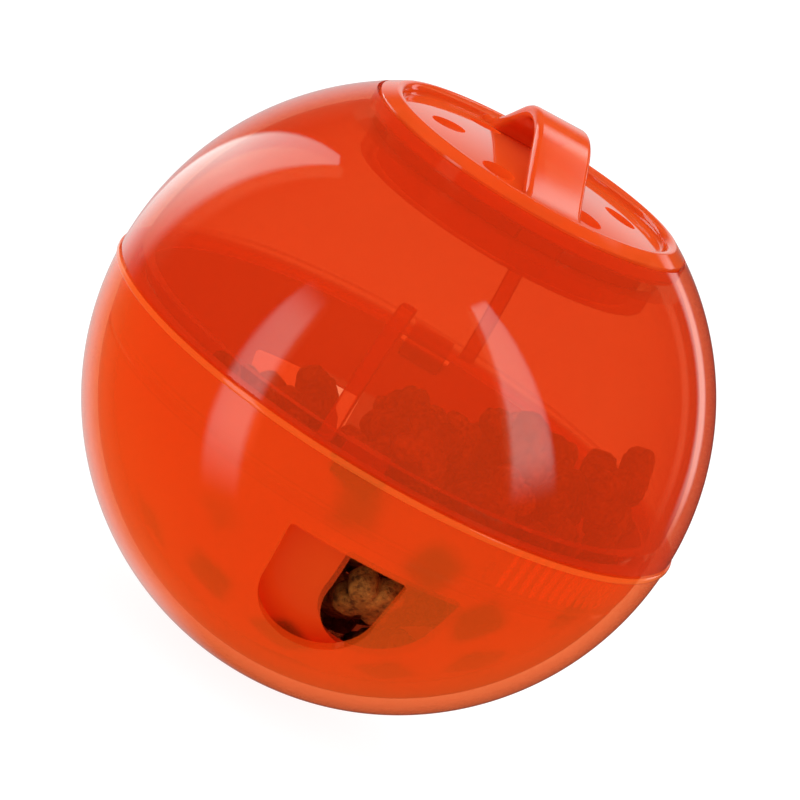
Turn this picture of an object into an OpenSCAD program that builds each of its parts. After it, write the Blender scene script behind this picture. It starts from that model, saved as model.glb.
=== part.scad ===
// Treat dispensing ball: two hemispheres that turn on each other about the
// upright axis, an inner cup that works as the shutter behind the two
// D-shaped windows, a lift-off lid with an arched handle, and loose treats.
// The origin is the point the ball stands on; +Z runs up to the lid and -Y
// faces the front window.

/* [Ball] */
// Outside diameter of the closed ball
ball_d = 76; // [70:1:84]
// Wall of the upper and the lower half
shell_t = 2; // [1.6:0.1:2.4]
// Gap between the two halves at the seam
seam_gap = 0.3; // [0.2:0.05:0.5]
// How far the bead along the seam stands out of the ball
bead_h = 0.25; // [0.1:0.05:0.4]
// Height of the bead along the seam
bead_w = 0.9; // [0.6:0.1:1.4]

/* [Windows] */
// Number of windows round the lower half
window_n = 2; // [1:1:2]
// Width of a window at its flat top edge
window_w = 15.2; // [10:0.2:16]
// Width of a window where its round bottom starts
window_low_w = 14.2; // [9:0.2:15]
// Height of a window, from its flat top edge to its round bottom
window_h = 14.3; // [11:0.1:16]
// Depth of the window's flat top edge below the seam
window_drop = 10; // [9:0.1:12]
// Turn of the cup's windows past the windows of the lower half, in degrees
cup_turn = 13.8; // [0:0.2:30]

/* [Inner cup] */
// Wall of the inner cup
cup_t = 1.5; // [1.2:0.1:1.8]
// Running gap between the cup and the lower half
cup_gap = 0.3; // [0.2:0.05:0.4]
// Depth of the cup's rim below the seam
cup_drop = 0.75; // [0.5:0.05:1.2]
// Height of the cup's windows
cup_window_h = 12; // [10:0.1:14]
// Depth of the flat top edge of the cup's windows below the seam
cup_window_drop = 10.5; // [9.5:0.1:12]
// Height of the retaining bead that the lower half turns on
hold_h = 0.5; // [0.3:0.05:0.6]
// Depth of the retaining bead below the seam
hold_drop = 7.8; // [7.2:0.1:8.6]

/* [Click ribs] */
// Number of click ribs in each row
rib_n = 21; // [6:1:22]
// Angle from one click rib to the next, in degrees
rib_step = 2.8; // [2:0.05:3]
// Angle of the first click rib from the centre of its window, in degrees
rib_start = 28.9; // [26:0.1:36]
// Height of a click rib out of the wall
rib_h = 0.5; // [0.3:0.05:0.6]
// Width of a click rib
rib_w = 0.6; // [0.4:0.05:0.9]
// Length of a click rib down the wall
rib_len = 5.2; // [3:0.1:5.6]
// Depth of the click ribs' upper ends below the seam
rib_drop = 1; // [0.6:0.1:1.4]

/* [Fins] */
// Thickness of the fins inside the upper half
fin_t = 1.8; // [1.4:0.1:3]
// How far a fin stands in from the wall
fin_h = 2.2; // [1.5:0.1:4]
// Height of a fin above the seam
fin_len = 17; // [10:0.5:20]
// Angle from a fin to the cup's window, in degrees
fin_turn = 28.8; // [26:0.2:36]

/* [Lid] */
// Diameter of the lid
lid_d = 41.5; // [38:0.5:44]
// Gap round the lid
lid_gap = 0.35; // [0.2:0.05:0.5]
// Thickness of the lid's rim
lid_t = 2.1; // [1.8:0.1:2.6]
// Thickness of the lid's floor
floor_t = 1.6; // [1.2:0.1:2]
// Distance from the lid's edge to the middle of its rounded crest
crest_in = 1.9; // [1.6:0.1:2.4]
// Radius of the rounded crest
crest_r = 0.9; // [0.6:0.1:1.2]
// Depth of the floor's edge under the crest
floor_drop = 1.4; // [1:0.1:2]
// Radius of the floor's shallow dome
floor_dome_r = 128; // [90:1:200]
// Diameter of a vent hole
vent_d = 4.3; // [3:0.1:5]
// Diameter of the circle that the vent holes lie on
vent_ring_d = 23.6; // [20:0.2:26]
// Number of vent holes
vent_n = 6; // [3:1:6]
// Angle from the handle to the first vent hole, in degrees
vent_turn = 27; // [24:1:30]
// Turn of the handle away from the front, in degrees
lid_turn = 8; // [-30:1:30]

/* [Lid neck] */
// Bore of the neck that the lid's plug fits in
neck_d = 35.2; // [32:0.2:36]
// Wall of the neck
neck_t = 1.8; // [1.4:0.1:2]
// Depth of the neck below the lid's seat
neck_len = 5.4; // [5:0.1:8]
// Gap between the plug and the neck
plug_gap = 0.3; // [0.2:0.05:0.4]
// Wall of the plug
plug_t = 1.5; // [1.2:0.1:1.8]
// Number of lugs on the plug
lug_n = 3; // [2:1:4]
// Width of a lug
lug_w = 5; // [3:0.5:7]
// Height of a lug
lug_z = 1.5; // [1.2:0.1:2]
// How far a lug stands out of the plug
lug_h = 1.2; // [0.8:0.1:1.4]
// Angle that the lock slot runs to one side, in degrees
lock_sweep = 32; // [20:1:40]

/* [Handle] */
// Width of the handle's band
handle_w = 7.4; // [6:0.1:9]
// Thickness of the handle's band
handle_t = 1.7; // [1.4:0.1:2]
// Height of the handle above the ball
handle_rise = 1; // [0.5:0.1:2]
// Radius of the handle's rounded crown
crown_r = 13.5; // [10:0.5:16]
// Half the span of the handle at its feet
handle_reach = 17.4; // [16:0.1:17.8]
// Radius along the handle's edges
handle_edge_r = 0.75; // [0.4:0.05:0.8]

/* [Treats] */
// Width of a treat across its lobes
treat_d = 9; // [8:0.1:9.2]
// Thickness of a treat
treat_t = 4; // [3:0.1:4.4]
// Number of lobes of a treat
lobe_n = 4; // [4:1:5]
// Spacing of the treats
treat_pitch = 10.4; // [10.2:0.1:12]
// Spacing of the layers of treats
layer_pitch = 5; // [5:0.1:6.5]
// Gap between the cup and the treats against it
treat_gap = 1.4; // [1:0.1:3]
// Depth of the top of the heap below the middle of the ball
heap_drop = 2; // [0:0.5:8]
// Lean of the heap's middle away from straight down, in degrees
heap_lean = 24; // [0:1:40]
// Direction in which the heap leans, in degrees round the ball
heap_turn = -42; // [-180:1:180]
// Turn of the heap on its own middle, in degrees
heap_spin = 70; // [0:1:359]

/* [Hidden] */
$fn = 96;
full_turn = 360;
half_turn = 180;
ball_r = ball_d / 2;
in_r = ball_r - shell_t;
cup_r = in_r - cup_gap;
cup_in_r = cup_r - cup_t;
// Length by which cutting shapes overrun the faces they cut
cut = 1;
// Clearance between pieces of one body that seat on each other
seat_gap = 0.1;
// The front is at -Y
front = -90;
cup_az = front + cup_turn;
fin_az = cup_az - fin_turn;

// Skirt of the upper half that centres the lower half
skirt_h = 1.5;
skirt_z = seat_gap - cup_drop;
// Hook beside each fin, which snaps into a slot in the cup's wall
hook_turn = 8.3;
hook_w = 5.6;
hook_t = 0.9;
hook_nib_h = 0.5;
hook_len = 2.4;
slot_w = 7.2;
slot_h = 0.7;
slot_drop = 0.9;
hook_r = sqrt(pow(cup_in_r, 2) - pow(cup_drop + hook_len, 2)) - seat_gap;

// Band round the cup that clears the click ribs
band_end = rib_drop + rib_len + cup_gap;
band_r = in_r - rib_h - cup_gap - hold_h / 4;
// Click nib on the cup, one rib step short of the first rib at rest
nib_turn = rib_start - rib_step;
nib_w = 0.7;
nib_h = 0.2;
nib_len = rib_len / 2;

// Lid and its seat
lid_r = lid_d / 2;
seat_r = lid_r + lid_gap;
lid_top_z = sqrt(pow(ball_r, 2) - pow(lid_r, 2));
lid_low_z = lid_top_z - lid_t;
seat_z = lid_low_z - seat_gap;
crest_x = lid_r - crest_in;
crest_z = sqrt(pow(ball_r - crest_r, 2) - pow(crest_x, 2));
floor_r = crest_x - crest_r;
floor_z = crest_z + crest_r - floor_drop;
dome_z = floor_z - sqrt(pow(floor_dome_r, 2) - pow(floor_r, 2));
floor_mid_z = dome_z + floor_dome_r;
neck_r = neck_d / 2;
plug_r = neck_r - plug_gap;
plug_in_r = plug_r - plug_t;
neck_low_z = seat_z - neck_len;
plug_low_z = neck_low_z + seat_gap;
shoulder_t = 1.7;
lug_low_z = plug_low_z + plug_gap;
// Handle: a crown arc with straight legs that meet it at its tangents
crown_z = ball_r + handle_rise - crown_r;
foot_z = floor_z;
foot_out = sqrt(pow(handle_reach, 2) + pow(foot_z - crown_z, 2));
foot_tilt = atan2(foot_z - crown_z, handle_reach);
leg_az = foot_tilt + acos(crown_r / foot_out);
leg_len = sqrt(pow(foot_out, 2) - pow(crown_r, 2));
handle_mid_r = crown_r - handle_t / 2;

// Treats: the lobes sit on a ring round the middle
lobe_r = treat_d / 5;
lobe_ring_r = treat_d / 2 - lobe_r;
treat_mid_r = treat_d / 3.6;
golden_turn = half_turn * (3 - sqrt(5));
golden_share = (sqrt(5) - 1) / 2;
layer_n = 6;
layer_turn = 40;
tilt_max = 3;
heap_out_r = cup_in_r - treat_gap - treat_t / 2 - pow(treat_d / 2, 2) / 2 / cup_in_r;

function ring_z(r, z) = sqrt(pow(r, 2) - pow(z, 2));
function share_of(i, k) = (i * golden_share + k * golden_share / 3) % 1;

// Band of a sphere between two heights, as a section for rotate_extrude
module band_section(r_out, r_in, low, high) {
    intersection() {
        difference() {
            circle(r = r_out);
            circle(r = r_in);
        }
        translate([0, low])
            square([r_out + cut, high - low]);
    }
}

module ring_section(r_in, r_out, low, high) {
    translate([r_in, low])
        square([r_out - r_in, high - low]);
}

// Outline of a window: flat at the top, a half circle at the bottom
module window_section(drop, high) {
    low_r = window_low_w / 2;
    half_w = window_w / 2;
    translate([0, low_r - drop - high]) {
        circle(r = low_r);
        polygon([[-low_r, 0], [low_r, 0], [half_w, high - low_r], [-half_w, high - low_r]]);
    }
}

// Windows cut square through the wall towards -Y, and opposite
module window_cuts(az, drop, high) {
    for (i = [0 : window_n - 1])
        rotate([0, 0, az - front + i * full_turn / window_n])
            rotate([90, 0, 0])
                linear_extrude(height = ball_r + cut)
                    window_section(drop, high);
}

// Short meridian bars that stand in from the wall of the lower half
module click_ribs() {
    intersection() {
        rotate_extrude()
            band_section(in_r + shell_t / 4, in_r - rib_h, -rib_drop - rib_len, -rib_drop);
        for (i = [0 : window_n - 1])
            for (k = [0 : rib_n - 1])
                rotate([0, 0, front + i * full_turn / window_n + rib_start + k * rib_step])
                    translate([0, -rib_w / 2, -rib_drop - rib_len])
                        cube([ball_r, rib_w, rib_len]);
    }
}

module lower_half() {
    color("orangered", 0.6)
        translate([0, 0, ball_r]) {
            difference() {
                rotate_extrude()
                    union() {
                        band_section(ball_r, in_r, -ball_r - cut, -seam_gap / 2);
                        ring_section(in_r, ball_r + bead_h, -bead_w, -seam_gap / 2);
                        translate([ring_z(in_r, hold_drop), -hold_drop])
                            circle(r = hold_h);
                    }
                window_cuts(front, window_drop, window_h);
            }
            click_ribs();
        }
}

// Fins on the wall of the upper half, each with a hook beside its foot
module fins() {
    hook_angle = hook_w / hook_r * half_turn / PI;
    for (i = [0 : 1])
        rotate([0, 0, fin_az + i * half_turn]) {
            intersection() {
                rotate([90, 0, 0])
                    translate([0, 0, -fin_t / 2])
                        linear_extrude(height = fin_t)
                            band_section(in_r + shell_t / 4, in_r - fin_h, seam_gap / 2, fin_len);
                translate([0, -ball_r, 0])
                    cube([ball_r, ball_d, ball_d]);
            }
            rotate([0, 0, hook_turn - hook_angle / 2])
                rotate_extrude(angle = hook_angle)
                    union() {
                        ring_section(hook_r - hook_t, hook_r, -cup_drop - hook_len, skirt_h);
                        ring_section(hook_r - hook_t, cup_in_r + seat_gap, skirt_z, skirt_h);
                        translate([0, -slot_drop - (slot_h + hook_nib_h) / 2])
                            ring_section(hook_r - hook_t / 2, band_r - seat_gap, 0, hook_nib_h);
                    }
        }
}

// Entry and lock run of each lug in the neck
module lug_slots() {
    out_r = plug_r + lug_h + plug_gap;
    for (i = [0 : lug_n - 1])
        rotate([0, 0, front + lid_turn + i * full_turn / lug_n]) {
            translate([plug_in_r, -lug_w / 2 - plug_gap, lug_low_z - plug_gap])
                cube([out_r - plug_in_r, lug_w + 2 * plug_gap, neck_len + cut]);
            translate([0, 0, lug_low_z - plug_gap])
                rotate_extrude(angle = lock_sweep)
                    ring_section(plug_in_r, out_r, 0, lug_z + 2 * plug_gap);
        }
}

module upper_half() {
    color("orangered", 0.6)
        translate([0, 0, ball_r]) {
            difference() {
                rotate_extrude()
                    difference() {
                        union() {
                            band_section(ball_r, in_r, seam_gap / 2, ball_r + cut);
                            intersection() {
                                ring_section(cup_in_r, in_r + cut / 2, skirt_z, skirt_h);
                                union() {
                                    ring_section(0, ball_r, seam_gap / 2, skirt_h);
                                    ring_section(0, cup_r, skirt_z, skirt_h);
                                }
                            }
                            intersection() {
                                circle(r = ball_r);
                                ring_section(neck_r, seat_r + shell_t, seat_z - shoulder_t, ball_r);
                            }
                            ring_section(neck_r, neck_r + neck_t, neck_low_z, seat_z);
                        }
                        ring_section(0, neck_r, 0, ball_r + cut);
                        ring_section(0, seat_r, seat_z, ball_r + cut);
                    }
                lug_slots();
            }
            fins();
        }
}

// The shutter: it hooks onto the upper half and turns inside the lower half
module inner_cup() {
    slot_angle = slot_w / cup_r * half_turn / PI;
    color("tomato", 0.6)
        translate([0, 0, ball_r]) {
            difference() {
                rotate_extrude()
                    difference() {
                        band_section(cup_r, cup_in_r, -cup_r - cut, -cup_drop);
                        difference() {
                            ring_section(0, ball_r, -band_end, 0);
                            circle(r = band_r);
                        }
                        translate([ring_z(cup_r, hold_drop) + cup_gap, -hold_drop])
                            circle(r = hold_h + cup_gap);
                    }
                window_cuts(cup_az, cup_window_drop, cup_window_h);
                for (i = [0 : 1])
                    rotate([0, 0, fin_az + i * half_turn + hook_turn - slot_angle / 2])
                        translate([0, 0, -slot_drop - slot_h])
                            rotate_extrude(angle = slot_angle)
                                ring_section(cup_in_r - cup_t, ball_r, 0, slot_h);
            }
            intersection() {
                rotate_extrude()
                    band_section(band_r + nib_h, band_r - cup_t / 4, -rib_drop - rib_len, -rib_drop);
                for (i = [0 : window_n - 1])
                    rotate([0, 0, front + nib_turn + i * full_turn / window_n])
                        translate([0, -nib_w / 2, -rib_drop - rib_len])
                            cube([ball_r, nib_w, nib_len]);
            }
        }
}

// Section of the handle's band, centred, with round edges
module handle_section() {
    square([handle_t, handle_w - 2 * handle_edge_r], center = true);
    square([handle_t - 2 * handle_edge_r, handle_w], center = true);
    for (x = [-1, 1])
        for (y = [-1, 1])
            translate([x * (handle_t / 2 - handle_edge_r), y * (handle_w / 2 - handle_edge_r)])
                circle(r = handle_edge_r);
}

// Arch over the lid's floor, from -X to +X
module handle() {
    difference() {
        translate([0, 0, crown_z])
            rotate([90, 0, 0]) {
                rotate([0, 0, leg_az])
                    rotate_extrude(angle = half_turn - 2 * leg_az)
                        translate([handle_mid_r, 0])
                            handle_section();
                for (side = [0, 1])
                    mirror([side, 0, 0])
                        rotate([0, 0, leg_az])
                            translate([handle_mid_r, 0, 0])
                                rotate([90, 0, 0])
                                    linear_extrude(height = leg_len + floor_t)
                                        handle_section();
            }
        translate([0, 0, dome_z])
            sphere(r = floor_dome_r - floor_t / 2, $fn = 2 * $fn);
    }
}

module lid_section() {
    difference() {
        union() {
            intersection() {
                circle(r = ball_r);
                ring_section(0, lid_r, lid_low_z, ball_r);
            }
            ring_section(0, plug_r, plug_low_z, lid_low_z + cut / 2);
        }
        difference() {
            ring_section(0, crest_x, 0, ball_r + cut);
            translate([0, dome_z])
                circle(r = floor_dome_r, $fn = 4 * $fn);
            ring_section(floor_r, crest_x, 0, crest_z);
            translate([crest_x, crest_z])
                circle(r = crest_r);
        }
        intersection() {
            ring_section(0, plug_in_r, 0, ball_r);
            translate([0, dome_z])
                circle(r = floor_dome_r - floor_t, $fn = 4 * $fn);
        }
    }
}

module lid() {
    color("orangered", 0.6)
        translate([0, 0, ball_r])
            rotate([0, 0, front + lid_turn]) {
                difference() {
                    rotate_extrude()
                        intersection() {
                            lid_section();
                            ring_section(0, ball_r, plug_low_z, ball_r);
                        }
                    for (i = [0 : vent_n - 1])
                        rotate([0, 0, vent_turn + i * full_turn / vent_n])
                            translate([vent_ring_d / 2, 0, lid_low_z - lid_t])
                                cylinder(d = vent_d, h = ball_r);
                }
                handle();
                for (i = [0 : lug_n - 1])
                    rotate([0, 0, i * full_turn / lug_n])
                        intersection() {
                            translate([plug_in_r, -lug_w / 2, lug_low_z])
                                cube([2 * plug_t + lug_h, lug_w, lug_z]);
                            translate([0, 0, lug_low_z])
                                cylinder(r = plug_r + lug_h, h = lug_z);
                        }
            }
}

module treat() {
    translate([0, 0, -treat_t / 2])
        linear_extrude(height = treat_t) {
            circle(r = treat_mid_r, $fn = 24);
            for (i = [0 : lobe_n - 1])
                rotate(i * full_turn / lobe_n)
                    translate([lobe_ring_r, 0])
                        circle(r = lobe_r, $fn = 24);
        }
}

// Treats lie in layers along the cup's wall, each layer evenly spread by the
// golden angle, with a turn and a small tilt of its own
module treats() {
    color("saddlebrown")
        translate([0, 0, ball_r])
            for (layer = [0 : layer_n - 1]) {
                r = heap_out_r - layer * layer_pitch;
                n = floor(4 * PI * pow((r - treat_t / 2) / treat_pitch, 2) / cos(30));
                if (r > treat_pitch / 2)
                    for (i = [0 : n - 1]) {
                        high = 1 - (2 * i + 1) / n;
                        polar = acos(high);
                        if (r * high < -heap_drop)
                            rotate([0, -heap_lean, heap_turn])
                                rotate([0, polar, i * golden_turn + layer * layer_turn + heap_spin])
                                    translate([0, 0, r])
                                        rotate([tilt_max * (2 * share_of(i, 1) - 1),
                                            tilt_max * (2 * share_of(i, 2) - 1),
                                            full_turn * share_of(i, layer)])
                                            treat();
                    }
            }
}

lower_half();
upper_half();
inner_cup();
lid();
treats();
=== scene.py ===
import math
import random

import bmesh
import bpy
import numpy as np
from mathutils import Matrix, Vector, noise


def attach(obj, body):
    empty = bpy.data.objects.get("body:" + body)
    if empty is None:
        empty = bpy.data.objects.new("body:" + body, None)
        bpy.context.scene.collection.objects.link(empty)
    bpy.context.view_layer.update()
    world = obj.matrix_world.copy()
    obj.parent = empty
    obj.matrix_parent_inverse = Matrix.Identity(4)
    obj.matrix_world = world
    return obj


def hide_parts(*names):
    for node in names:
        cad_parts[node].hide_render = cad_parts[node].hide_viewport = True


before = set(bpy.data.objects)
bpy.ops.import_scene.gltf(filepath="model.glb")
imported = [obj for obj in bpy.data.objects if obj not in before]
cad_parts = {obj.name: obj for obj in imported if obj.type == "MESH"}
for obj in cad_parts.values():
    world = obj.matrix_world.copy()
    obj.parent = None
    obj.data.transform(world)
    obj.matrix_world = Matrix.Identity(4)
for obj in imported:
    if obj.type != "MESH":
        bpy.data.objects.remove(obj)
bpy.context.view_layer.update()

# Lengths are in mm until MM makes them metres. Heights z count from the ball's middle, MID.
MM = 0.001
TAU = 2 * math.pi
BALL_R = 38.0  # the outside of both halves
IN_R = 36.0  # their inside
CUP_R = 35.7  # the cup's outside
BAND_R = 35.075  # the cup's outside beside the click ribs
CUP_IN_R = 34.2  # the cup's inside
MID = Vector((0.0, 0.0, BALL_R * MM))
ON_SPHERE = 0.02 * MM  # how far from a sphere a point still counts as on it

# Directions about the ball's axis, in degrees
FRONT = -90.0  # the lower half's front window
CUP_AZ = FRONT + 13.8  # the cup's window, partly behind that one at rest
FIN_AZ = CUP_AZ - 28.8
HOOK_AZ = FIN_AZ + 8.3
HANDLE_AZ = FRONT + 8.0
VENT_AZ = HANDLE_AZ + 27


# Materials

def add(nt, kind, sockets=None, **settings):
    """A shader node: first its settings, then its sockets, each a value or another's output."""
    node = nt.nodes.new("ShaderNode" + kind)
    for key, value in settings.items():
        setattr(node, key, value)
    for key, value in (sockets or {}).items():
        if isinstance(value, bpy.types.NodeSocket):
            nt.links.new(value, node.inputs[key])
        else:
            node.inputs[key].default_value = value
    return node


def new_material(name):
    mat = bpy.data.materials.new(name)
    mat.use_nodes = True
    mat.node_tree.nodes.clear()
    return mat, mat.node_tree


def show(nt, shader, kind="Material"):
    """Makes a shader the one that the material or the world shows."""
    add(nt, "Output" + kind, {"Surface": shader.outputs[0]})


def maths(nt, operation, *values):
    return add(nt, "Math", dict(enumerate(values)), operation=operation).outputs[0]


def mix(nt, share, first, second):
    sockets = {"Fac": share, 1: first.outputs[0], 2: second.outputs[0]}
    return add(nt, "MixShader", sockets)


def ramp(nt, source, stops):
    """The colour of a ramp through (position, colour) stops."""
    node = add(nt, "ValToRGB", {"Fac": source})
    elements = node.color_ramp.elements
    while len(elements) < len(stops):
        elements.new(0.5)
    for element, (position, colour) in zip(elements, stops):
        element.position = position
        element.color = (*colour, 1.0)
    return node.outputs["Color"]


def speckle(nt, coords, scale, detail=2.0, rough=0.5):
    sockets = {"Scale": scale, "Detail": detail, "Roughness": rough, "Vector": coords}
    return add(nt, "TexNoise", sockets).outputs["Fac"]


def painted_shade_near(nt, coords, colour, painted_shade):
    """Painted shade: the shade colour where something lies close to a face on its hollow side,
    found by ambient occlusion, or else the colour.

    It paints the shadows of the treats that show through the cup's wall where they lie against
    it.
    """
    reach = 0.0023  # in metres
    all_shade, no_shade = 0.35, 0.75  # the shares of open surroundings for each
    inward = add(nt, "VectorMath", {0: tuple(MID), 1: coords}, operation="SUBTRACT")
    unit = add(nt, "VectorMath", {0: inward.outputs["Vector"]}, operation="NORMALIZE")
    sockets = {"Distance": reach, "Normal": unit.outputs["Vector"]}
    near = add(nt, "AmbientOcclusion", sockets, samples=10)
    sockets = {"From Min": all_shade, "From Max": no_shade, "Value": near.outputs["AO"]}
    share = add(nt, "MapRange", sockets).outputs["Result"]
    sockets = {"A": (*painted_shade, 1.0), "Factor": share, "B": colour}
    return add(nt, "Mix", sockets, data_type="RGBA").outputs["Result"]


def clear_plastic(name, light, deep, tint, solid, painted_shade=None, glow=0.0, rise=0.5):
    """Tinted clear plastic: a cloudy colour in a see-through film, under a polished face.

    solid is the cloudy share of the film seen straight on. rise is what it gains at a slant,
    where the way through the wall is longer. The painted shade colour, if given, goes to
    painted_shade_near. glow is painted light: an emission that stands for the light that the
    wall has led to the face, and that comes out of it.
    """
    straight_gloss, rim_gloss = 0.04, 0.9
    mat, nt = new_material(name)
    coords = add(nt, "TexCoord").outputs["Object"]
    colour = ramp(nt, speckle(nt, coords, scale=38.0), [(0.3, deep), (0.7, light)])
    # Painted shade: darker where the treats lie against the inside
    if painted_shade is not None:
        colour = painted_shade_near(nt, coords, colour, painted_shade)
    sockets = {"Base Color": colour, "Roughness": 0.35, "Specular IOR Level": 0.0}
    # glow is painted light: an emission, though the plastic is no lamp
    if glow:
        sockets.update({"Emission Color": (*light, 1.0), "Emission Strength": glow})
    body = add(nt, "BsdfPrincipled", sockets)
    clear = add(nt, "BsdfTransparent", {"Color": (*tint, 1.0)})
    grain = speckle(nt, coords, scale=420.0)
    bump = add(nt, "Bump", {"Strength": 0.02, "Distance": 0.0002, "Height": grain})
    gloss = add(nt, "BsdfGlossy", {"Roughness": 0.04, "Normal": bump.outputs["Normal"]})
    facing = add(nt, "LayerWeight", {"Blend": 0.5}).outputs["Facing"]
    slant = maths(nt, "MULTIPLY", maths(nt, "POWER", facing, 3.0), rise)
    film = mix(nt, maths(nt, "ADD", slant, solid), clear, body)
    rim = maths(nt, "MULTIPLY", maths(nt, "POWER", facing, 5.0), rim_gloss)
    show(nt, mix(nt, maths(nt, "ADD", rim, straight_gloss), film, gloss))
    return mat


def baked_food(name):
    """Dry baked treats: brown crust with darker pits and pale crumbs."""
    browns = [(0.32, (0.10, 0.032, 0.005)), (0.5, (0.29, 0.105, 0.016)),
              (0.68, (0.50, 0.215, 0.040))]
    greys = [(0.36, (0.35, 0.30, 0.26)), (0.5, (0.9, 0.88, 0.85)), (0.66, (1.25, 1.2, 1.1))]
    mat, nt = new_material(name)
    coords = add(nt, "TexCoord").outputs["Object"]
    grain = speckle(nt, coords, scale=1100.0, detail=5.0, rough=0.7)
    crust = ramp(nt, speckle(nt, coords, scale=170.0, detail=5.0, rough=0.62), browns)
    sockets = {"Factor": 1.0, "A": crust, "B": ramp(nt, grain, greys)}
    colour = add(nt, "Mix", sockets, data_type="RGBA", blend_type="MULTIPLY")
    bump = add(nt, "Bump", {"Strength": 0.9, "Distance": 0.0005, "Height": grain})
    show(nt, add(nt, "BsdfPrincipled", {
        "Base Color": colour.outputs["Result"], "Roughness": 0.9,
        "Specular IOR Level": 0.2, "Normal": bump.outputs["Normal"]}))
    return mat


# Each plastic's light and deep colour, and the tint of its film
RED = (0.95, 0.076, 0.009), (0.93, 0.062, 0.007), (0.98, 0.58, 0.40)
ORANGE = (0.985, 0.145, 0.013), (0.975, 0.120, 0.010), (0.985, 0.53, 0.34)
# A lighter orange for the seam's bead and the click ribs: a painted highlight
PAINTED_HIGHLIGHT_ORANGE = (0.985, 0.170, 0.022), (0.975, 0.145, 0.016), (0.985, 0.60, 0.42)
CUP_RED = (0.90, 0.120, 0.014), (0.88, 0.101, 0.012), (0.985, 0.72, 0.56)
LID_RED = (0.97, 0.110, 0.013), (0.95, 0.092, 0.011), (0.98, 0.60, 0.42)
# The colour of the painted shadows of the treats on the cup's inside
PAINTED_TREAT_SHADOW = (0.08, 0.030, 0.008)

# Each glow below is painted light: an emission in plastic that is no lamp
SHELL = clear_plastic("shell_plastic", *RED, solid=0.30)
SHELL_LOW = clear_plastic("shell_plastic_low", *ORANGE, solid=0.23, glow=0.21, rise=0.45)
SHELL_PAINTED_HIGHLIGHT = clear_plastic("shell_plastic_painted_highlight", *PAINTED_HIGHLIGHT_ORANGE, solid=0.40, glow=0.21)
CUP = clear_plastic("cup_plastic", *CUP_RED, solid=0.14)
# The cup's inside carries the painted shade of the treats lying against it
CUP_IN = clear_plastic("cup_plastic_inside", *CUP_RED, solid=0.82, painted_shade=PAINTED_TREAT_SHADOW)
LID = clear_plastic("lid_plastic", *LID_RED, solid=0.62)
# The lid's plastic with a glow: painted light for the vent walls
LID_PAINTED_GLOW = clear_plastic("lid_plastic_painted_glow", *LID_RED, solid=0.62, glow=0.32)
FOOD = baked_food("baked_treats")


# Outlines

def arc(radius, low, high, count):
    """Points (r, z) on a sphere's meridian between two heights."""
    a0 = math.asin(max(-1.0, min(1.0, low / radius)))
    a1 = math.asin(max(-1.0, min(1.0, high / radius)))
    angles = [a0 + (a1 - a0) * k / count for k in range(count + 1)]
    return [(radius * math.cos(a), radius * math.sin(a)) for a in angles]


def circle_arc(cx, cy, radius, start, end, count):
    """Points on a circle between two angles in degrees."""
    angles = [math.radians(start + (end - start) * k / count) for k in range(count + 1)]
    return [(cx + radius * math.cos(a), cy + radius * math.sin(a)) for a in angles]


def meridian(radius, known):
    """A sphere's height at a distance from its axis, or that distance at a height."""
    return math.sqrt(radius ** 2 - known ** 2)


def spot(r, angle, z):
    """In metres, the point at r from the ball's axis, an angle in radians about it and z."""
    return r * MM * math.cos(angle), r * MM * math.sin(angle), z * MM + MID.z


def spun(azimuth, z=0.0):
    """A place on the ball's axis, turned about it by an azimuth in degrees."""
    about_axis = Matrix.Rotation(math.radians(azimuth), 4, "Z")
    return Matrix.Translation(MID) @ about_axis @ Matrix.Translation((0, 0, z * MM))


# Meshes

def bridge(bm, low, high):
    """Faces between two rings of points. A ring may be one point, a pole."""
    count = max(len(low), len(high))
    for k in range(count):
        m = (k + 1) % count
        if len(low) == 1:
            bm.faces.new((low[0], high[m], high[k]))
        elif len(high) == 1:
            bm.faces.new((low[k], low[m], high[0]))
        else:
            bm.faces.new((low[k], low[m], high[m], high[k]))


def lathe(profile, steps=256):
    """Closed solid turned from a closed (r, z) outline."""
    bm = bmesh.new()
    rings = []
    for r, z in profile:
        if r < 1e-6:
            rings.append([bm.verts.new(spot(0.0, 0.0, z))])
        else:
            rings.append([bm.verts.new(spot(r, TAU * k / steps, z)) for k in range(steps)])
    for low, high in zip(rings, rings[1:] + rings[:1]):
        if len(low) > 1 or len(high) > 1:
            bridge(bm, low, high)
    bmesh.ops.recalc_face_normals(bm, faces=bm.faces)
    return bm


def prism(outline, place, depth):
    """Extrudes an (x, y) outline along +Z by depth, then places it."""
    bm = bmesh.new()
    low = [bm.verts.new((x * MM, y * MM, 0.0)) for x, y in outline]
    high = [bm.verts.new((x * MM, y * MM, depth * MM)) for x, y in outline]
    bm.faces.new(low[::-1])
    bm.faces.new(high)
    bridge(bm, low, high)
    bmesh.ops.recalc_face_normals(bm, faces=bm.faces)
    bm.transform(place)
    return bm


def loft(rows):
    """Closed solid through equal rows of points, capped at both ends."""
    bm = bmesh.new()
    rings = [[bm.verts.new(point) for point in row] for row in rows]
    for low, high in zip(rings, rings[1:]):
        bridge(bm, low, high)
    bm.faces.new(rings[0])
    bm.faces.new(rings[-1][::-1])
    bmesh.ops.recalc_face_normals(bm, faces=bm.faces)
    return bm


def pour(bm, into):
    """Adds a bmesh to another one and frees it."""
    me = bpy.data.meshes.new("tmp")
    bm.to_mesh(me)
    bm.free()
    into.from_mesh(me)
    bpy.data.meshes.remove(me)


def merge(bms):
    out = bmesh.new()
    for bm in bms:
        pour(bm, out)
    return out


def obj_from(bm, name):
    me = bpy.data.meshes.new(name)
    bm.to_mesh(me)
    bm.free()
    ob = bpy.data.objects.new(name, me)
    bpy.context.scene.collection.objects.link(ob)
    return ob


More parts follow.
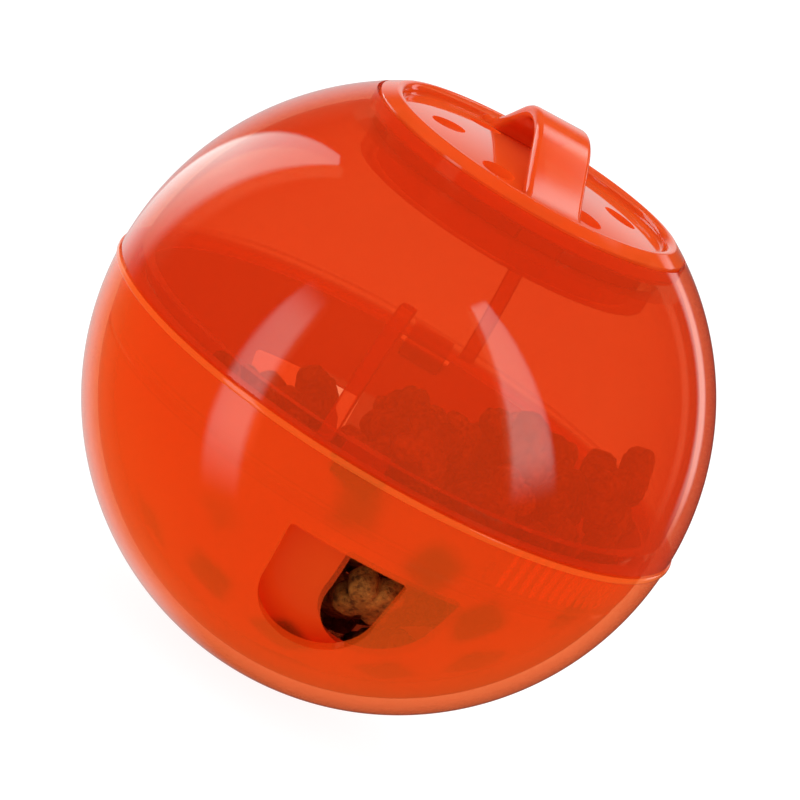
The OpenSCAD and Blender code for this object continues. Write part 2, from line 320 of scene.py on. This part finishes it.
def join(ob, extra):
    """Adds a bmesh to a piece's mesh as it is."""
    bm = bmesh.new()
    bm.from_mesh(ob.data)
    pour(extra, bm)
    bm.to_mesh(ob.data)
    bm.free()


def apply_boolean(ob, cutter_bm, operation="DIFFERENCE"):
    cutter = obj_from(cutter_bm, ob.name + "_cutter")
    mod = ob.modifiers.new("cut", "BOOLEAN")
    mod.operation = operation
    mod.solver = "EXACT"
    mod.object = cutter
    deps = bpy.context.evaluated_depsgraph_get()
    me = bpy.data.meshes.new_from_object(ob.evaluated_get(deps))
    ob.modifiers.clear()
    old = ob.data
    ob.data = me
    bpy.data.meshes.remove(old)
    bpy.data.objects.remove(cutter)


def smooth_ball(ob, radii, angle=35.0):
    """Smooth shading, with true normals where a face lies on one of the ball's spheres."""
    straight = 0.985  # the least cosine between such a face's normal and the radius
    me = ob.data
    for p in me.polygons:
        p.use_smooth = True
    me.set_sharp_from_angle(angle=math.radians(angle))
    normals = np.zeros(len(me.loops) * 3, dtype=np.float32)
    me.corner_normals.foreach_get("vector", normals)
    normals = normals.reshape(-1, 3)
    co = np.zeros(len(me.vertices) * 3, dtype=np.float32)
    me.vertices.foreach_get("co", co)
    co = co.reshape(-1, 3) - np.array(MID, dtype=np.float32)
    dist = np.linalg.norm(co, axis=1)
    unit = co / np.maximum(dist, 1e-9)[:, None]
    on = np.zeros(len(dist), dtype=bool)
    for r in radii:
        on |= np.abs(dist - r * MM) < ON_SPHERE
    for p in me.polygons:
        idx = [me.loops[k].vertex_index for k in p.loop_indices]
        mean = co[idx].mean(axis=0)
        side = float(np.array(p.normal) @ (mean / max(np.linalg.norm(mean), 1e-9)))
        if abs(side) > straight and on[idx].all():
            for k, v in zip(p.loop_indices, idx):
                normals[k] = unit[v] * (1 if side > 0 else -1)
    me.normals_split_custom_set([tuple(n) for n in normals])


def finish_piece(ob, node, mat, body):
    ob.data.materials.clear()
    ob.data.materials.append(mat)
    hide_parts(node)
    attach(ob, body)


def paint(ob, mat, chosen):
    """Gives the chosen faces a second material."""
    ob.data.materials.append(mat)
    for face in ob.data.polygons:
        if chosen(face):
            face.material_index = 1


# Windows and click bars, which the lower half and the cup both have

def window_cutters(azimuth, height, drop):
    """Cutters for two windows half a turn apart, drop under the seam, with a round bottom."""
    half, low_half, corner, through = 7.6, 7.1, 0.5, 45.0
    top = -drop - corner
    outline = circle_arc(-half + corner, top, corner, 180, 90, 3)
    outline += circle_arc(half - corner, top, corner, 90, 0, 3)
    outline += circle_arc(0, low_half - drop - height, low_half, 0, -180, 24)
    outwards = Matrix(((1, 0, 0, 0), (0, 0, -1, 0), (0, 1, 0, 0), (0, 0, 0, 1)))
    return merge(prism(outline, spun(azimuth - FRONT + 180 * i) @ outwards, through)
                 for i in range(2))


def bar_on_wall(azimuth, low, high, radius, height, width, count=10):
    """A rounded upright bar with sloping ends. It stands in from the wall, or out from it
    where the height is negative."""
    section = [(-0.5, -0.12), (-0.5, 0.45), (-0.36, 0.8), (-0.13, 0.97),
               (0.13, 0.97), (0.36, 0.8), (0.5, 0.45), (0.5, -0.12)]
    rows = []
    for k in range(count + 1):
        t = k / count
        z = low + (high - low) * t
        ease = min(1.0, 4 * min(t, 1 - t) + 0.25)
        row = []
        for across, rise in section:
            r = meridian(radius, z) - rise * height * (ease if rise > 0 else 1.0)
            row.append(spot(r, math.radians(azimuth) + across * width / radius, z))
        rows.append(row)
    return loft(rows)


# Lower half

BEAD_R = 38.25  # the bead along the seam
RETAINER_Z = -7.8  # the bead inside that the cup's groove turns on
RIB_START, RIB_STEP = 28.9, 2.8  # in degrees, the first past a window's middle
RIB_COUNT = 21

profile = arc(BALL_R, -BALL_R, -0.95, 96)
profile += [(38.12, -0.9), (38.21, -0.82), (BEAD_R, -0.7), (BEAD_R, -0.35),
            (38.21, -0.22), (38.12, -0.15), (36.1, -0.15)]
profile += arc(IN_R, -0.25, RETAINER_Z + 0.5, 10)
profile += circle_arc(meridian(IN_R, RETAINER_Z), RETAINER_Z, 0.5, 115, 245, 10)
profile += arc(IN_R, RETAINER_Z - 0.5, -IN_R, 80)
lower = obj_from(lathe(profile), "lower_shell")
apply_boolean(lower, window_cutters(FRONT, height=14.3, drop=10.0))
join(lower, merge(
    bar_on_wall(FRONT + 180 * i + RIB_START + RIB_STEP * k, -6.2, -1.0, IN_R, 0.5, 0.6)
    for i in range(2) for k in range(RIB_COUNT)))
smooth_ball(lower, (BALL_R, IN_R))
finish_piece(lower, "lower_half", SHELL_LOW, "lower_half")


def catches_light(face):
    """A face of the seam's bead or of a click rib, where a painted highlight goes."""
    middle = (face.center - MID) / MM
    on_bead = math.hypot(middle.x, middle.y) > BALL_R + 0.05
    return on_bead or (middle.z > -6.4 and 35.2 < middle.length < 35.85)


# The bead and the ribs take a lighter, more solid plastic: a painted highlight
paint(lower, SHELL_PAINTED_HIGHLIGHT, catches_light)

# Upper half

SEAT_R, SEAT_Z = 21.1, 29.73  # the lid's seat
NECK_R, NECK_OUT_R, NECK_Z = 17.6, 19.4, 24.33
SKIRT_R, SKIRT_IN_R = 35.7, 34.2
LOCK_R, LOCK_IN_R, LOCK_HALF, LOCK_TURN = 18.8, 15.8, 2.8, 32  # the slots for the lid's lugs
ENTRY_Z, ENTRY_HIGH, TRACK_Z, TRACK_HIGH = 24.43, 8.0, 24.45, 2.1

profile = [(BALL_R, 0.15)] + arc(BALL_R, 0.3, meridian(BALL_R, SEAT_R) - 0.12, 72)
profile += [(SEAT_R + 0.06, 31.58), (SEAT_R, 31.5), (SEAT_R, SEAT_Z), (17.75, SEAT_Z),
            (NECK_R, SEAT_Z - 0.15), (NECK_R, 24.45), (17.75, NECK_Z), (19.25, NECK_Z),
            (NECK_OUT_R, 24.5), (NECK_OUT_R, 27.7), (19.7, 28.0), (22.55, 28.03)]
profile += arc(IN_R, 27.9, 1.7, 60)[1:]
profile += [(35.9, 1.5), (34.35, 1.5), (SKIRT_IN_R, 1.35), (SKIRT_IN_R, -0.5), (34.35, -0.65),
            (35.55, -0.65), (SKIRT_R, -0.5), (SKIRT_R, 0.15)]
upper = obj_from(lathe(profile), "upper_shell")
entry = [(LOCK_IN_R, -LOCK_HALF), (LOCK_R, -LOCK_HALF), (LOCK_R, LOCK_HALF),
         (LOCK_IN_R, LOCK_HALF)]
track = circle_arc(0, 0, LOCK_R, 0, LOCK_TURN, 12)
track += circle_arc(0, 0, LOCK_IN_R, 0, LOCK_TURN, 12)[::-1]
for i in range(3):
    apply_boolean(upper, prism(entry, spun(HANDLE_AZ + 120 * i, ENTRY_Z), ENTRY_HIGH))
    apply_boolean(upper, prism(track, spun(HANDLE_AZ + 120 * i, TRACK_Z), TRACK_HIGH))


def fin(azimuth):
    """Upright fin on the upper half's wall, rounded along its inner edge."""
    section = [(-0.5, -0.05), (-0.5, 0.78), (-0.36, 0.94), (-0.12, 1.0),
               (0.12, 1.0), (0.36, 0.94), (0.5, 0.78), (0.5, -0.05)]
    low, high, count, depth, width = 0.3, 17.0, 24, 2.2, 1.8
    ca, sa = math.cos(math.radians(azimuth)), math.sin(math.radians(azimuth))
    rows = []
    for k in range(count + 1):
        z = low + (high - low) * k / count
        row = []
        for across, rise in section:
            x = meridian(IN_R - depth * rise if rise > 0 else IN_R + 0.1, z)
            y = across * width
            row.append(((x * ca - y * sa) * MM, (x * sa + y * ca) * MM, z * MM + MID.z))
        rows.append(row)
    return loft(rows)


def hook(azimuth):
    """Snap hook beside the fin's foot, with its nib in the cup's slot."""
    out_r, width, steps = 33.95, 5.6, 10
    section = [(33.05, -3.0), (33.2, -3.15), (33.8, -3.15), (out_r, -3.0), (out_r, -1.55),
               (34.9, -1.45), (34.97, -1.25), (34.9, -1.05), (out_r, -0.95), (out_r, -0.6),
               (34.3, -0.6), (34.3, 1.45), (33.2, 1.45), (33.05, 1.3)]
    span = math.degrees(width / out_r)
    angles = [math.radians(azimuth - span / 2 + span * k / steps) for k in range(steps + 1)]
    return loft([[spot(r, a, z) for r, z in section] for a in angles])


join(upper, merge([fin(FIN_AZ), fin(FIN_AZ + 180), hook(HOOK_AZ), hook(HOOK_AZ + 180)]))
smooth_ball(upper, (BALL_R, IN_R))
finish_piece(upper, "upper_half", SHELL, "upper_half")

# Inner cup

NIB_AZ = FRONT + 26.1  # the nib that clicks along the ribs
SLOT_WIDTH, SLOT_Z, SLOT_HIGH = 7.2, -1.6, 0.7  # the slots for the hooks' nibs
SLOT_FROM, SLOT_TO = 32.0, 38.0  # how far they are cut, from the axis

profile = [(0.0, -CUP_R)] + arc(CUP_R, -CUP_R + 0.02, -8.6, 72)[1:]
profile += circle_arc(meridian(CUP_R, RETAINER_Z) + 0.3, RETAINER_Z, 0.8, 258, 102, 10)
profile += arc(CUP_R, -6.95, -6.55, 2) + arc(BAND_R, -6.5, -0.75, 12)
profile += arc(CUP_IN_R, -0.75, -CUP_IN_R, 80)
cup = obj_from(lathe(profile), "cup_body")
apply_boolean(cup, window_cutters(CUP_AZ, height=12.0, drop=10.5))
slot_half = math.degrees(SLOT_WIDTH / CUP_R) / 2
slot = circle_arc(0, 0, SLOT_FROM, -slot_half, slot_half, 8)
slot += circle_arc(0, 0, SLOT_TO, slot_half, -slot_half, 8)
for i in range(2):
    apply_boolean(cup, prism(slot, spun(HOOK_AZ + 180 * i, SLOT_Z), SLOT_HIGH))
join(cup, merge(bar_on_wall(NIB_AZ + 180 * i, -6.2, -3.6, BAND_R, -0.2, 0.7, 6)
                for i in range(2)))
smooth_ball(cup, (CUP_R, CUP_IN_R, BAND_R))
finish_piece(cup, "inner_cup", CUP, "upper_half")


def on_inside(face):
    corners = [cup.data.vertices[v].co - MID for v in face.vertices]
    return all(abs(corner.length - CUP_IN_R * MM) < ON_SPHERE for corner in corners)


paint(cup, CUP_IN, on_inside)

# Lid

LID_R, LID_Z = 20.75, 29.83  # the rim's outside and foot
CREST_R, CREST_Z = 18.85, 31.954  # the middle of the rim's rounded crest
PLUG_R, PLUG_IN_R, PLUG_Z = 17.3, 15.8, 24.43
FLOOR_R, FLOOR_Z = 17.95, 31.454  # where the floor meets the rim
FLOOR_BEND, FLOOR_THICK = 128.0, 1.6
DOME_Z = FLOOR_Z - meridian(FLOOR_BEND, FLOOR_R)
VENT_R, VENT_RING = 2.15, 11.8
VENT_CUT_Z, VENT_CUT_HIGH = 26, 9.0
LUG_Z, LUG_THICK = 24.73, 1.5


def dome(r, drop=0.0):
    """The height of the floor's top, or of a face under it, at r from the axis."""
    return DOME_Z + meridian(FLOOR_BEND - drop, r)


profile = [(17.2 * k / 20, dome(17.2 * k / 20)) for k in range(21)]
profile += [(17.55, dome(17.55) + 0.04), (17.8, FLOOR_Z + 0.2), (FLOOR_R, FLOOR_Z + 0.45)]
profile += circle_arc(CREST_R, CREST_Z, 0.9, 172, 62, 14)
rim_z = meridian(BALL_R, LID_R)
profile += arc(BALL_R, profile[-1][1] - 0.02, rim_z + 0.15, 6)[1:]
profile += [(LID_R - 0.02, rim_z + 0.03), (LID_R, rim_z - 0.1), (LID_R, LID_Z + 0.2),
            (LID_R - 0.2, LID_Z), (PLUG_R, LID_Z), (PLUG_R, 24.6), (17.1, PLUG_Z),
            (16.0, PLUG_Z), (PLUG_IN_R, 24.6)]
profile += [(PLUG_IN_R * (1 - k / 12), dome(PLUG_IN_R * (1 - k / 12), FLOOR_THICK))
            for k in range(13)]
lid = obj_from(lathe(profile, 192), "lid_body")
vent_angles = [math.radians(VENT_AZ + 60 * i) for i in range(6)]
vents = [(VENT_RING * math.cos(a), VENT_RING * math.sin(a)) for a in vent_angles]
circle = [(VENT_R * math.cos(TAU * k / 40), VENT_R * math.sin(TAU * k / 40)) for k in range(40)]
apply_boolean(lid, merge(
    prism([(x + u, y + v) for u, v in circle], spun(0.0, VENT_CUT_Z), VENT_CUT_HIGH)
    for x, y in vents))


def handle_bm():
    """Arched band: a round crown on two straight legs, whose feet spread into the floor."""
    crown_r, thick, wide, edge_r = 13.5, 1.7, 7.4, 0.7
    reach = 17.4  # from the axis to where a leg's outside meets the floor
    sunk = 1.0  # how far a leg goes on below that
    n_leg, n_arc = 12, 24
    crown_z = BALL_R + 1.0 - crown_r
    foot = math.hypot(reach, FLOOR_Z - crown_z)
    leg = math.atan2(FLOOR_Z - crown_z, reach) + math.acos(crown_r / foot)
    leg_len = math.sqrt(foot ** 2 - crown_r ** 2)
    mid_r = crown_r - thick / 2
    path = []  # x, z, the band's outward direction, and the way down the leg
    for k in range(n_leg + 1):
        s = (leg_len + sunk) * (1 - k / n_leg)
        path.append((mid_r * math.cos(leg) + s * math.sin(leg),
                     crown_z + mid_r * math.sin(leg) - s * math.cos(leg), leg, s))
    for k in range(1, n_arc):
        a = leg + (math.pi - 2 * leg) * k / n_arc
        path.append((mid_r * math.cos(a), crown_z + mid_r * math.sin(a), a, 0.0))
    a = math.pi - leg
    for k in range(n_leg + 1):
        s = (leg_len + sunk) * k / n_leg
        path.append((mid_r * math.cos(a) - s * math.sin(a),
                     crown_z + mid_r * math.sin(a) + s * math.cos(a), a, s))

    def foot_share(s, over):
        """From 0 to 1 over the last part of the leg."""
        return min(max(0.0, 1.0 - (leg_len - s) / over), 1.0) if s > 0 else 0.0

    rows = []
    for x, z, a, s in path:
        half_w = wide / 2 + 1.1 * foot_share(s, 2.2) ** 2
        half_t = thick / 2 + 0.75 * foot_share(s, 7.5) ** 2.2
        section = []
        for k, (sx, sy) in enumerate(((1, 1), (-1, 1), (-1, -1), (1, -1))):
            section += circle_arc(sx * (half_t - edge_r), sy * (half_w - edge_r), edge_r,
                                  90 * k, 90 * k + 90, 4)
        rows.append([((x + u * math.cos(a)) * MM, v * MM, (z + u * math.sin(a)) * MM)
                     for u, v in section])
    bm = loft(rows)
    bm.transform(spun(HANDLE_AZ))
    return bm


apply_boolean(lid, handle_bm(), "UNION")
lug = [(16.6, -2.5), (18.2, -2.5), (18.45, -2.2), (18.5, 0.0), (18.45, 2.2), (18.2, 2.5),
       (16.6, 2.5)]
join(lid, merge(prism(lug, spun(HANDLE_AZ + 120 * i, LUG_Z), LUG_THICK) for i in range(3)))
smooth_ball(lid, (BALL_R,), 40.0)
finish_piece(lid, "lid", LID, "lid")


def in_vent(face):
    """A face of a vent's wall, where painted light goes."""
    middle = (face.center - MID) / MM
    return abs(face.normal.z) < 0.2 and 29.0 < middle.z < 32.2 and any(
        abs(math.hypot(middle.x - x, middle.y - y) - VENT_R) < 0.05 for x, y in vents)


# The vent walls take a glowing plastic: painted light, for the light the lid leads into them
paint(lid, LID_PAINTED_GLOW, in_vent)

# Treats

WINDOW_WAY = Vector((-0.099, -0.863, -0.496))  # from the ball's middle to the window's
LOW_WAY = Vector((0.486, -0.265, -0.833))  # to the photo's bottom, where treats lie close
GROWN = 1.1  # the inner layers' size beside the solids'


def turn(a, b, c):
    """Rotations about x, then y, then z, in degrees."""
    about_x, about_y, about_z = (Matrix.Rotation(math.radians(angle), 4, axis)
                                 for angle, axis in ((a, "X"), (b, "Y"), (c, "Z")))
    return about_z @ about_y @ about_x


def treat_places():
    """Layers of treats on spirals, up to a slanting top, where the solids are."""
    treat_d, treat_t, pitch, layer_pitch, gap = 9.0, 4.0, 10.4, 5.0, 1.4
    heap_top, tilt = -2.0, 3
    out_r = CUP_IN_R - gap - treat_t / 2 - (treat_d / 2) ** 2 / 2 / CUP_IN_R
    golden_turn = 180 * (3 - math.sqrt(5))
    golden = (math.sqrt(5) - 1) / 2
    places = []
    for layer in range(6):
        r = out_r - layer * layer_pitch
        squares = 4 * math.pi * ((r - treat_t / 2) / pitch) ** 2
        n = math.floor(squares / math.cos(math.radians(30)))
        for i in range(n):
            high = 1 - (2 * i + 1) / n
            if r * high >= heap_top:
                continue
            polar = math.degrees(math.acos(high))
            share = [(i * golden + k * golden / 3) % 1 for k in (1, 2, layer)]
            m = turn(0, -24, -42) @ turn(0, polar, i * golden_turn + layer * 40 + 70)
            m = m @ Matrix.Translation((0, 0, r * MM))
            m = m @ turn(tilt * (2 * share[0] - 1), tilt * (2 * share[1] - 1), 360 * share[2])
            places.append((layer, Matrix.Translation(MID) @ m))
    return places


def settled(place, rng):
    """An outer treat's place, moved along the radius.

    It moves outwards near LOW_WAY, and inwards far from there, behind a window, or by chance.
    """
    way = (place.translation - MID).normalized()
    lean = max(-1.0, min(1.0, 4.0 * (way.dot(LOW_WAY) - 0.36)))
    if abs(way.dot(WINDOW_WAY)) > 0.955 or rng.random() < 0.2:
        lean = -1.0
    out = 0.3 + 0.85 * lean + rng.uniform(-0.25, 0.2)
    return Matrix.Translation(way * MM * out) @ place


def lobed(angle, amp, skew, size):
    """A treat's radius at an angle: a round middle with four lobes about it."""
    middle_r, lobe_ring, lobe_half_angle = 2.6, 2.62, 0.8
    rho = middle_r
    for k in range(4):
        c = angle - (k * math.pi / 2 + skew[k])
        c = (c + math.pi) % TAU - math.pi
        ring = lobe_ring * amp[k]
        s = ring * math.sin(c)
        if abs(c) < lobe_half_angle and abs(s) < size[k]:
            rho = max(rho, ring * math.cos(c) + math.sqrt(size[k] ** 2 - s ** 2))
    return rho


def treats_bm():
    """The treats: four uneven lobes each, with a lumpy, pitted crust."""
    rng = random.Random(7)
    bm = bmesh.new()
    n_t, n_p, half_t = 44, 12, 1.95
    for layer, place in treat_places():
        pits = [(0.5, 0.16), (1.2, 0.09)]  # how fine and how deep
        if layer < 2:
            pits.append((2.7, 0.045))
        place = place @ Matrix.Scale(GROWN, 4) if layer else settled(place, rng)
        amp = [1.0 + rng.uniform(-0.14, 0.05) for _ in range(4)]
        skew = [rng.uniform(-0.16, 0.16) for _ in range(4)]
        size = [1.85 * rng.uniform(0.9, 1.06) for _ in range(4)]
        seed = Vector((rng.uniform(0, 50), rng.uniform(0, 50), rng.uniform(0, 50)))
        angles = [TAU * t / n_t for t in range(n_t)]
        edge = [(a, lobed(a, amp, skew, size)) for a in angles]
        rings = []
        for p in range(n_p + 1):
            lat = -math.pi / 2 + math.pi * p / n_p
            g = max(math.cos(lat), 0.0) ** 0.42
            h = math.copysign(abs(math.sin(lat)) ** 0.7, math.sin(lat))
            ring = []
            for a, rho in (edge[:1] if p in (0, n_p) else edge):
                x, y, z = rho * g * math.cos(a), rho * g * math.sin(a), half_t * h
                q = sum(abs(noise.noise(Vector((x, y, z)) * fine + seed)) * deep
                        for fine, deep in pits)
                f = 1.02 - q
                point = Vector((x * f, y * f, z * (1.0 - q * 0.9))) * MM
                ring.append(bm.verts.new(place @ point))
            rings.append(ring)
        for low, high in zip(rings, rings[1:]):
            bridge(bm, low, high)
    bmesh.ops.recalc_face_normals(bm, faces=bm.faces)
    for f in bm.faces:
        f.smooth = True
    return bm


treats = obj_from(treats_bm(), "treat_heap")
finish_piece(treats, "treats", FOOD, "upper_half")

# Camera, fitted to the ball's outline, the seam and the lid's edge in the photo, in metres

DISTANCE, SHIFT_RIGHT, SHIFT_UP = 0.6, 0.00015935, -0.00028156
toward = Vector((-0.1201, -0.9641, 0.2367)).normalized()
right = Vector((0.8655, 0.0151, 0.5007))
right = (right - toward * right.dot(toward)).normalized()
up = toward.cross(right)
VIEW = Matrix((right, up, toward)).transposed()
cam_data = bpy.data.cameras.new("camera")
cam_data.lens = 225.35
cam_data.sensor_width = 36.0
cam_data.clip_start = 0.01
cam = bpy.data.objects.new("camera", cam_data)
bpy.context.scene.collection.objects.link(cam)
cam_pos = MID + toward * DISTANCE + right * SHIFT_RIGHT + up * SHIFT_UP
cam.matrix_world = Matrix.Translation(cam_pos) @ VIEW.to_4x4()
bpy.context.scene.camera = cam


# Studio, in metres

CYAN, WHITE = (0.55, 1.0, 1.0), (1.0, 1.0, 1.0)  # cyan looks white on orange plastic


def smooth_step(nt, value, low, high, to_low=0.0, to_high=1.0):
    sockets = {"From Min": low, "From Max": high, "To Min": to_low, "To Max": to_high,
               "Value": value}
    return add(nt, "MapRange", sockets, interpolation_type="SMOOTHSTEP").outputs["Result"]


def along(nt, direction, axis, low, high, to_low, to_high):
    """A smooth step of a direction's share along an axis."""
    sockets = {0: direction, 1: tuple(axis)}
    share = add(nt, "VectorMath", sockets, operation="DOT_PRODUCT").outputs["Value"]
    return smooth_step(nt, share, low, high, to_low, to_high)


def panel(name, centre, across, along_y, width, height, radiance, fade_x, fade_y, colour=CYAN):
    """A flat soft box whose glow fades at its edges.

    Its centre, from the ball's middle, and its axes are along the view's right, up and towards.
    """
    data = bpy.data.lights.new(name, "AREA")
    data.shape = "RECTANGLE"
    data.size = width
    data.size_y = height
    data.energy = radiance * math.pi * width * height
    data.color = colour
    data.use_nodes = True
    nt = data.node_tree
    split = add(nt, "SeparateXYZ", {0: add(nt, "NewGeometry").outputs["Parametric"]})
    strength = 1.0
    for axis, fade in (("X", fade_x), ("Y", fade_y)):
        off = maths(nt, "ABSOLUTE", maths(nt, "SUBTRACT", split.outputs[axis], 0.5))
        strength = maths(nt, "MULTIPLY", smooth_step(nt, off, 0.5, 0.5 - fade), strength)
    nt.links.new(strength, nt.nodes["Emission"].inputs["Strength"])
    ob = bpy.data.objects.new(name, data)
    bpy.context.scene.collection.objects.link(ob)
    x_axis = (VIEW @ Vector(across)).normalized()
    y_axis = VIEW @ Vector(along_y)
    y_axis = (y_axis - x_axis * y_axis.dot(x_axis)).normalized()
    m = Matrix((x_axis, y_axis, x_axis.cross(y_axis))).transposed().to_4x4()
    ob.matrix_world = Matrix.Translation(MID + VIEW @ Vector(centre)) @ m
    return ob


low_box = panel("low_box", (-0.12, -0.74, 0.58), (1.0, 0.0, 0.2), (0.0, 0.62, 0.79),
                1.1, 1.1, 0.8, 0.45, 0.45, WHITE)
low_box.visible_glossy = False
for_all = [
    panel("left_box", (-0.575, 0.138, 0.467), (0.359, -0.502, 0.787), (0.197, 0.865, 0.462),
          0.237, 1.229, 2.8, 0.2, 0.3),
    panel("right_box", (0.393, 0.203, 0.522), (0.758, 0.252, -0.602), (0.21, 0.779, 0.591),
          0.131, 1.099, 3.3, 0.15, 0.12),
    panel("top_box", (-0.174, 0.584, -0.103), (-0.2, 0.012, 0.98), (-0.192, 0.98, -0.051),
          0.115, 1.16, 3.8, 0.15, 0.1),
    panel("back_box", (0.60, 0.05, -0.70), (-0.76, 0.0, -0.65), (0.0, 1.0, 0.07),
          0.20, 0.8, 1.7, 0.35, 0.3, WHITE)]
for_lid = [
    panel("foot_box", (0.542, 0.661, -0.339), (-0.53, 0.0, -0.848), (-0.61, 0.695, 0.381),
          0.45, 0.5, 4.4, 0.45, 0.3),
    panel("lid_box", (0.15, 0.42, -0.78), (-1.0, 0.0, -0.1), (0.0, 0.9, 0.42),
          0.5, 0.5, 0.2, 0.3, 0.3)]
only_lid = bpy.data.collections.new("lid_light")
only_lid.objects.link(lid)
for lamp in for_all + for_lid:
    lamp.visible_diffuse = False
for lamp in for_lid:
    lamp.light_linking.receiver_collection = only_lid

# The floor is white from above and clear from below, and only the camera sees it.
floor_bm = bmesh.new()
floor_bm.faces.new([floor_bm.verts.new((x, y, 0.0))
                    for x, y in ((-3, -3), (3, -3), (3, 3), (-3, 3))])
floor = obj_from(floor_bm, "floor")
floor_mat, nt = new_material("floor_white")
glow = add(nt, "Emission", {"Color": (1, 1, 1, 1), "Strength": 0.9})
matt = add(nt, "BsdfDiffuse", {"Color": (0.25, 0.25, 0.25, 1)})
both = add(nt, "AddShader", {0: glow.outputs[0], 1: matt.outputs[0]})
from_below = add(nt, "NewGeometry").outputs["Backfacing"]
show(nt, mix(nt, from_below, both, add(nt, "BsdfTransparent")))
floor.data.materials.append(floor_mat)
floor.visible_glossy = False
floor.visible_diffuse = False
floor.visible_transmission = False
floor.visible_shadow = False

# The world is white to the camera. As light it is weaker from below, and reflections show it
# dark, but for the room behind the ball.
world = bpy.data.worlds.new("studio")
bpy.context.scene.world = world
world.use_nodes = True
nt = world.node_tree
nt.nodes.clear()
ray = add(nt, "LightPath")
direction = add(nt, "TexCoord").outputs["Generated"]
behind = along(nt, direction, toward, -0.70, -0.92, 0.0, 1.0)
height = along(nt, direction, up * 0.75 - right * 0.66, -0.12, 0.06, 0.0, 0.95)
room = maths(nt, "ADD", maths(nt, "MULTIPLY", behind, height), 0.06)
sky = along(nt, direction, up, -0.95, -0.1, 0.76, 1.16)
soft = add(nt, "Background", {"Color": (1, 1, 1, 1), "Strength": sky})
reflected = add(nt, "Background", {"Strength": room})
seen = add(nt, "Background", {"Color": (1, 1, 1, 1), "Strength": 1.05})
unseen = mix(nt, ray.outputs["Is Glossy Ray"], soft, reflected)
show(nt, mix(nt, ray.outputs["Is Camera Ray"], unseen, seen), "World")

scene = bpy.context.scene
scene.view_settings.view_transform = "Standard"
scene.cycles.transparent_max_bounces = 32
scene.cycles.max_bounces = 10
scene.cycles.diffuse_bounces = 5
